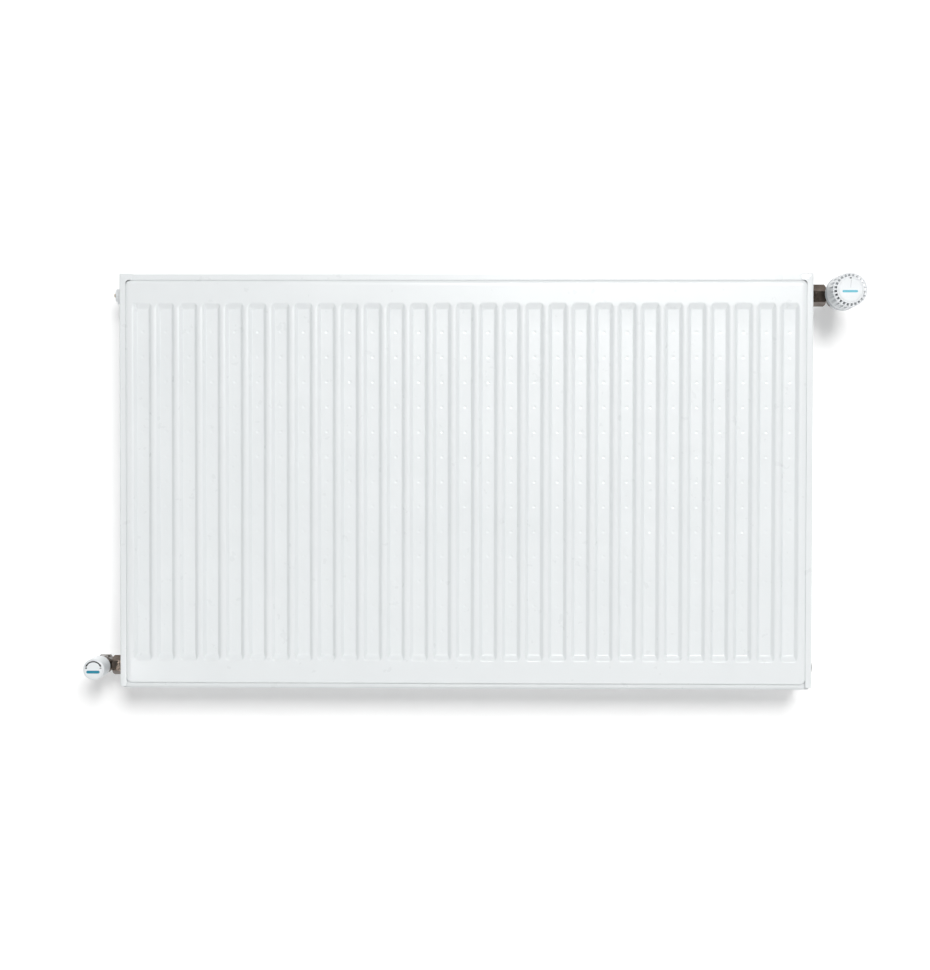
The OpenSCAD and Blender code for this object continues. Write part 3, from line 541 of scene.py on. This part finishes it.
def side_cover(name, node, side):
    """A cover swept up the side and, past a mitred fold, along the top to its corner tab."""
    lo, hi = low(node) / MM, high(node) / MM
    outer = hi.x if side > 0 else -lo.x
    tab_end = lo.x if side > 0 else -hi.x
    drop = LIP_DROP
    slope = drop / LIP_WIDTH
    profile = cover_profile(lo.y, hi.y)
    form = bmesh.new()

    def ring(place):
        return [form.verts.new(Vector(place(inset, y)) * MM) for inset, y in profile]

    crease = 0.3

    def up_side(height):
        return lambda inset, y: (side * (outer - inset), y, height)

    def mitre(shift, press_in):
        def place(inset, y):
            pinch = press_in if y < lo.y + 0.01 else (-press_in if y > hi.y - 0.01 else 0.0)
            return (side * (outer - inset - max(shift, 0)), y + pinch, hi.z - inset * slope + min(shift, 0))
        return place

    def along_top(x):
        return lambda inset, y: (side * x, y, hi.z - inset * slope)

    steps = [lo.z, lo.z + 0.4, (lo.z + hi.z) / 2, hi.z - 14]
    rings = [ring(up_side(z)) for z in steps]
    rings += [ring(mitre(-crease, 0.0)), ring(mitre(0.0, crease)), ring(mitre(crease, 0.0))]
    rings += [ring(along_top(x)) for x in (tab_end + 0.3, tab_end)]
    for first, second in zip(rings, rings[1:]):
        join_rings(form, first, second)
    for end in (rings[0], rings[-1]):
        form.faces.new(end)
    bmesh.ops.recalc_face_normals(form, faces=form.faces)
    shell = to_mesh(name, form)
    holes = []
    for height in (-hub_z, hub_z):
        across = axis_frame((side * outer * MM, mid_y, height), (0, 0, 1), (1, 0, 0))
        outline = [(0, -20), (COVER_BORE, -20), (COVER_BORE, 20), (0, 20)]
        holes.append(revolve(name + "_bore", outline, across, 64, closed=False))
    mesh = combine(name, shell, holes, "DIFFERENCE")

    # The inner corners of the lips are filled out to a curve.
    fill = bmesh.new()
    fill.from_mesh(mesh)
    bpy.data.meshes.remove(mesh)
    corner = (outer - LIP_WIDTH + 0.3, hi.z - drop + 0.3)
    for y in (lo.y + 0.02, hi.y - COVER_SHEET):
        outline = [corner, (corner[0], corner[1] - LIP_CORNER)]
        for k in range(1, 8):
            angle = math.pi / 2 * k / 8
            outline.append((
                corner[0] - LIP_CORNER * (1 - math.cos(angle)),
                corner[1] - LIP_CORNER * (1 - math.sin(angle)),
            ))
        outline.append((corner[0] - LIP_CORNER, corner[1]))
        near = [fill.verts.new((side * x * MM, y * MM, z * MM)) for x, z in outline]
        far = [fill.verts.new((side * x * MM, (y + 0.98) * MM, z * MM)) for x, z in outline]
        fill.faces.new(near)
        fill.faces.new(far)
        join_rings(fill, near, far)
    return add_piece(name, to_mesh(name, fill), PAINT, node, 40)


side_cover("side_cover_left_folded", "side_cover_left", -1)
side_cover("side_cover_right_folded", "side_cover_right", 1)


# ---- Pieces turned on a lathe ---------------------------------------------------------------

def slotted_wheel(name, rows, place, count, turn, half_width):
    """A wheel with slots. A row is (radius, height) or, where a slot runs, (radius, height,
    floor radius, floor height). The slots keep their width in mm all along, and are cut right
    through between rows whose floors lie on the bore."""
    form = bmesh.new()
    sector = 2 * math.pi / count
    arcs = [-half_width - SLOT_LIP, -half_width, 0.0, half_width, half_width + SLOT_LIP]
    fractions = [-0.5, -0.42, 0.42]
    rings = []
    for row in rows:
        radius, height = row[:2]
        if radius < 1e-6:
            rings.append([form.verts.new((0, 0, height * MM))])
            continue
        ring = []
        reference = max(radius, 19.0)
        offsets = [fractions[0] * sector, fractions[1] * sector]
        offsets += [arc / reference for arc in arcs] + [fractions[2] * sector]
        for i in range(count):
            for k, offset in enumerate(offsets):
                inside = len(row) > 2 and 3 <= k <= 5
                r, h = (row[2], row[3]) if inside else (radius, height)
                angle = math.radians(turn) + i * sector + offset
                ring.append(form.verts.new((r * MM * math.cos(angle), r * MM * math.sin(angle), h * MM)))
        rings.append(ring)
    through = [len(row) > 2 and row[2] <= WHEEL_BORE for row in rows]
    for k, (first, second) in enumerate(zip(rings, rings[1:])):
        if through[k] and through[k + 1]:
            join_rings(form, first, second, skip=lambda i: i % len(offsets) in (3, 4))
        else:
            join_rings(form, first, second)
    return to_mesh(name, form, place)


def merge(name, meshes):
    form = bmesh.new()
    for mesh in meshes:
        form.from_mesh(mesh)
        bpy.data.meshes.remove(mesh)
    return to_mesh(name, form)


# The printed faces stand back from the CAD's by this much, so that the ink stays inside its box.
INK_ROOM = 0.05
WHEEL_BORE = 18.1
WHEEL_SLOTS = 24
WHEEL_TURN = 5.0
SLOT_HALF = 1.42
SLOT_LIP = 0.22


def build_handwheel():
    front = (mid_y - low("trv_handwheel").y) / MM - INK_ROOM
    back = (mid_y - high("trv_handwheel").y) / MM
    bore = WHEEL_BORE
    rows = [
        (0, front - 1.4), (15.0, front - 1.4), (16.63, front - 1.4), (16.65, front - 0.25),
        (16.75, front - 0.06), (16.95, front), (17.5, front - 0.03), (18.9, front - 0.62),
        (19.22, front - 0.78), (19.3, front - 0.82, 19.36, front - 1.3),
        (22.9, front - 2.35, bore, front - 7), (23.7, front - 2.75, bore, front - 9),
        (24.08, front - 3.05, bore, front - 11.5), (24.25, front - 3.4, bore, front - 14),
        (24.33, front - 8, 18.9, front - 17), (24.42, front - 14, 20.2, front - 20.5),
        (24.52, front - 21, 22.2, front - 25), (24.6, front - 27, 23.6, front - 29.5),
        (24.68, front - 32, 24.5, front - 32.4), (24.7, front - 33), (24.8, back + 0.6),
        (24.7, back + 0.15), (24.3, back), (18.3, back), (bore, back + 0.2),
        (bore, front - 14, bore, front - 14), (bore, front - 7, bore, front - 7), (bore, front - 5.5),
        (0, front - 5.2),
    ]
    wheel = slotted_wheel("trv_wheel_shell", rows, ON_TRV, WHEEL_SLOTS, WHEEL_TURN, SLOT_HALF)
    bridge = revolve(
        "trv_wheel_bridge",
        [(22.75, front - 2.3), (23.68, front - 2.78), (24.06, front - 3.08), (24.22, front - 3.42),
         (24.24, front - 4.6), (22.9, front - 4.6)],
        ON_TRV, turns=192,
    )
    ribbed = merge("trv_handwheel_ribbed", [wheel, bridge])
    add_piece("trv_handwheel_ribbed", ribbed, WHITE, "trv_handwheel", 28)
    disc = revolve(
        "trv_face_cap",
        [(0, front), (13, front), *rounded([(15.5, front), (16.5, front, 0.35), (16.5, front - 1)]),
         (16.5, front - 1.35), (0, front - 1.35)],
        ON_TRV, turns=144, closed=False,
    )
    add_piece("trv_face_cap", disc, WHITE, "trv_face_disc", 40)
    return front


def build_knob():
    front = (mid_y - low("return_knob_face").y) / MM - INK_ROOM
    back = (mid_y - high("return_knob").y) / MM
    shell = rounded([
        (13.45, front - 0.95), (13.55, front, 0.3), (14.0, front, 0.4), (15.2, front - 0.7, 0.6),
        (15.5, front - 3.0, 1.5), (15.5, back, 0.35), (12.6, back, 0.3), (12.6, front - 4, 0.5),
        (3.0, front - 4), (3.0, front - 0.95),
    ], closed=True)
    skirt = revolve("return_knob_shell", shell, ON_RETURN, turns=144)
    add_piece("return_knob_shell", skirt, WHITE, "return_knob", 40)
    face = [(0, front), (11, front), *rounded([(12.4, front), (13.4, front, 0.35), (13.4, front - 0.9)]),
            (0, front - 0.9)]
    cap = revolve("return_knob_cap", face, ON_RETURN, turns=144, closed=False)
    add_piece("return_knob_cap", cap, WHITE, "return_knob_face", 40)
    return front


wheel_front = build_handwheel()
knob_front = build_knob()


# ---- Printed marks, as thin pads of ink -----------------------------------------------------
INK = 0.03


def ink_pad(name, outline, place, face, material, body):
    """A printed mark: a flat outline in mm, INK thick, standing on a face that far along the axis."""
    form = bmesh.new()
    top = [form.verts.new((x * MM, y * MM, face * MM)) for x, y in outline]
    bottom = [form.verts.new((x * MM, y * MM, (face - INK) * MM)) for x, y in outline]
    form.faces.new(top)
    join_rings(form, top, bottom)
    return add_piece(name, to_mesh(name, form, place), material, None, 60, body)


def pill(cx, cy, length, height, steps=10):
    """A bar with round ends."""
    half = (length - height) / 2
    points = []
    for side in (1, -1):
        for k in range(steps + 1):
            angle = math.pi * (k / steps - 0.5)
            along = half + height / 2 * math.cos(angle)
            points.append((cx + side * along, cy + side * height / 2 * math.sin(angle)))
    return points


def band(radius, width, start, stop, steps=40):
    """A curved stripe between two angles in degrees."""
    angles = [math.radians(start + (stop - start) * k / steps) for k in range(steps + 1)]
    more, less = radius + width / 2, radius - width / 2
    outer = [(more * math.cos(a), more * math.sin(a)) for a in angles]
    inner = [(less * math.cos(a), less * math.sin(a)) for a in reversed(angles)]
    return outer + inner


def arrowhead(radius, angle, turn_way, length, width):
    """A triangle at the end of a curved stripe, pointing on round it."""
    a = math.radians(angle)
    here = Vector((radius * math.cos(a), radius * math.sin(a)))
    ahead = Vector((-math.sin(a), math.cos(a))) * turn_way
    out = Vector((math.cos(a), math.sin(a)))
    points = [here + out * width / 2, here + ahead * length, here - out * width / 2]
    return [(p.x, p.y) for p in points]


def print_marks():
    """Plain generic marks: an index and a bar on the head; a two-way arrow, signs and a bar on the knob."""
    index = [(-1.4, 15.7, 0.4), (1.4, 15.7, 0.4), (1.4, 17.45, 0.4), (-1.4, 17.45, 0.4)]
    head = [
        ("mark_head_index", rounded(index, closed=True), BLACK_INK),
        ("mark_head_pointer", [(0.5, 14.6), (1.0, 14.6), (0.15, 3.0), (-0.1, 3.0)], GREY_INK),
        ("mark_head_bar", pill(-0.6, -2.2, 22.0, 3.4), PALE_INK),
    ]
    for name, outline, material in head:
        ink_pad(name, outline, ON_TRV, wheel_front + INK + 0.01, material, "trv_handwheel")
    radius, start, stop = 11.5, 35.0, 145.0
    knob = [
        ("mark_knob_arc", band(radius, 1.8, start, stop), BLACK_INK),
        ("mark_knob_arrow_right", arrowhead(radius, start, -1, 3.6, 3.6), BLACK_INK),
        ("mark_knob_arrow_left", arrowhead(radius, stop, 1, 3.6, 3.6), BLACK_INK),
        ("mark_knob_minus", pill(10.4, 2.1, 2.9, 1.5), GREY_INK),
        ("mark_knob_dot", pill(-10.5, 2.1, 2.6, 2.4), BLACK_INK),
        ("mark_knob_bar", pill(-0.5, -3.6, 19.5, 4.2), BLUE_INK),
    ]
    for name, outline, material in knob:
        ink_pad(name, outline, ON_RETURN, knob_front + INK + 0.01, material, "return_knob")


print_marks()


# ---- Nodes carried over from the CAD --------------------------------------------------------
# Width in mm of the rounding on the edges of each, and the angle from which an edge is rounded
EDGES = {
    "painted_steel": (0.25, 2, 30), "white_plastic": (0.25, 2, 30), "grey_plastic": (0.5, 3, 30),
    "dark_bronze": (0.5, 3, 25), "brass": (0.2, 2, 30),
}


def finish_cad_nodes():
    for name, node in nodes.items():
        slot = SLOT_OF_NODE[name]
        node.data.materials.clear()
        node.data.materials.append(SLOT_MATERIALS[slot])
        if slot not in EDGES or "convector" in name:
            continue
        width, segments, angle = EDGES[slot]
        weld = node.modifiers.new("weld", "WELD")
        weld.merge_threshold = 0.000002
        edge = node.modifiers.new("rounded edges", "BEVEL")
        edge.width = width * MM
        edge.segments = segments
        edge.limit_method = "ANGLE"
        edge.angle_limit = math.radians(angle)
        edge.use_clamp_overlap = True
        edge.harden_normals = True


finish_cad_nodes()


# ---- Camera ---------------------------------------------------------------------------------
# The photo's view: nearly square on, from a little to the right of and above the middle.
AIM_X, AIM_Z = -0.1, -4.8
DISTANCE = 2231.0
AZIMUTH, ELEVATION, ROLL = 0.8, 1.1, 0.075
LENS, SENSOR = 57.4, 36.0


def camera_place():
    azimuth, elevation = math.radians(AZIMUTH), math.radians(ELEVATION)
    level = math.cos(elevation)
    away = Vector((math.sin(azimuth) * level, -math.cos(azimuth) * level, math.sin(elevation)))
    return camera_aim() + away * DISTANCE * MM


def camera_aim():
    return Vector((AIM_X * MM, low("front_panel_outer").y, AIM_Z * MM))


# ---- Stage ----------------------------------------------------------------------------------
WALL_GAP = 0.5
FLOOR_Z = -0.80
STAGE_GLOW = 0.14
STAGE_HALF = 3.0
WORLD_STRENGTH = 0.44
ROOM_SHARE = 0.06
KEY_PLACE, KEY_WIDTH, KEY_HEIGHT, KEY_POWER = (0.7, -4.7, 1.74), 1.5, 1.4, 167.0
BACK_PLACE, BACK_SIZE, BACK_POWER = (-1.0, 2.4, 1.2), 2.0, 25.0
GLINT_SIZE, GLINT_POWER = 0.14, 3.0
WARM, NEUTRAL = (1.0, 0.995, 0.99), (1.0, 1.0, 1.0)


def stage_sheet(name, corners, material):
    mesh = bpy.data.meshes.new(name)
    mesh.from_pydata(corners, [], [(0, 1, 2, 3)])
    sheet = bpy.data.objects.new(name, mesh)
    bpy.context.scene.collection.objects.link(sheet)
    mesh.materials.append(material)
    return sheet


def make_stage_material(name, color, one_sided):
    """Matt studio white. A one-sided sheet doesn't show from behind and lets light through from there."""
    material, shader = new_material(name, color, 0.9)
    shader.inputs["Specular IOR Level"].default_value = 0.0
    shader.inputs["Emission Color"].default_value = (1, 1, 1, 1)
    shader.inputs["Emission Strength"].default_value = STAGE_GLOW
    if one_sided:
        tree = material.node_tree
        facing = add_node(material, "ShaderNodeNewGeometry")
        path = add_node(material, "ShaderNodeLightPath")
        either = add_node(material, "ShaderNodeMath")
        either.operation = "MAXIMUM"
        mix = add_node(material, "ShaderNodeMixShader")
        clear = add_node(material, "ShaderNodeBsdfTransparent")
        tree.links.new(facing.outputs["Backfacing"], either.inputs[0])
        tree.links.new(path.outputs["Is Shadow Ray"], either.inputs[1])
        tree.links.new(either.outputs["Value"], mix.inputs["Fac"])
        tree.links.new(shader.outputs["BSDF"], mix.inputs[1])
        tree.links.new(clear.outputs["BSDF"], mix.inputs[2])
        tree.links.new(mix.outputs["Shader"], tree.nodes["Material Output"].inputs["Surface"])
    return material


def area_light(name, place, aim, width, height, power, color):
    data = bpy.data.lights.new(name, "AREA")
    data.shape = "RECTANGLE"
    data.size, data.size_y = width, height
    data.energy = power
    data.color = color
    light = bpy.data.objects.new(name, data)
    bpy.context.scene.collection.objects.link(light)
    light.location = place
    light.rotation_euler = (Vector(aim) - Vector(place)).to_track_quat("-Z", "Y").to_euler()
    return light


def build_stage():
    wall_y = WALL_GAP * MM
    side = STAGE_HALF
    wall = make_stage_material("studio_wall", (0.95, 0.95, 0.95), True)
    stage_sheet(
        "studio_wall",
        [(-side, wall_y, FLOOR_Z), (side, wall_y, FLOOR_Z), (side, wall_y, side), (-side, wall_y, side)],
        wall,
    )
    floor = make_stage_material("studio_floor", (0.62, 0.62, 0.62), False)
    stage_sheet(
        "studio_floor",
        [(-side, -side, FLOOR_Z), (side, -side, FLOOR_Z), (side, side, FLOOR_Z), (-side, side, FLOOR_Z)],
        floor,
    )
    world = bpy.data.worlds.new("studio")
    world.use_nodes = True
    tree = world.node_tree
    sky = tree.nodes["Background"]
    sky.inputs["Color"].default_value = (0.98, 0.99, 1.0, 1)
    # The room in front, towards -Y, is dimmer, which is what polished metal shows.
    place = tree.nodes.new("ShaderNodeTexCoord")
    split = tree.nodes.new("ShaderNodeSeparateXYZ")
    fade = tree.nodes.new("ShaderNodeMapRange")
    fade.inputs["From Min"].default_value = -0.97
    fade.inputs["From Max"].default_value = -0.62
    fade.inputs["To Min"].default_value = WORLD_STRENGTH * ROOM_SHARE
    fade.inputs["To Max"].default_value = WORLD_STRENGTH
    tree.links.new(place.outputs["Generated"], split.inputs["Vector"])
    tree.links.new(split.outputs["Y"], fade.inputs["Value"])
    tree.links.new(fade.outputs["Result"], sky.inputs["Strength"])
    bpy.context.scene.world = world
    area_light("key", KEY_PLACE, (0, 0, 0), KEY_WIDTH, KEY_HEIGHT, KEY_POWER, WARM)
    # A small light is mirrored in the return nut's front flat.
    flat = middle("return_union_nut")
    flat.y = low("return_union_nut").y
    back_to_camera = camera_place() - flat
    mirrored = Vector((-back_to_camera.x, back_to_camera.y, -back_to_camera.z))
    glint = area_light("glint", flat + mirrored * 2, flat, GLINT_SIZE, GLINT_SIZE, GLINT_POWER, NEUTRAL)
    glint.visible_diffuse = False
    area_light("back_fill", BACK_PLACE, (0, 0, 0), BACK_SIZE, BACK_SIZE, BACK_POWER, NEUTRAL)


build_stage()

def build_camera():
    data = bpy.data.cameras.new("camera")
    data.sensor_fit = "AUTO"
    data.sensor_width = SENSOR
    data.lens = LENS
    data.clip_start, data.clip_end = 0.05, 50.0
    camera = bpy.data.objects.new("camera", data)
    bpy.context.scene.collection.objects.link(camera)
    camera.location = camera_place()
    look = (camera_aim() - camera.location).to_track_quat("-Z", "Y").to_matrix()
    camera.rotation_euler = (look @ Matrix.Rotation(math.radians(ROLL), 3, "Z")).to_euler()
    bpy.context.scene.camera = camera


build_camera()
settings = bpy.context.scene.view_settings
settings.view_transform = "Standard"
settings.look = "None"
settings.exposure = 0.0
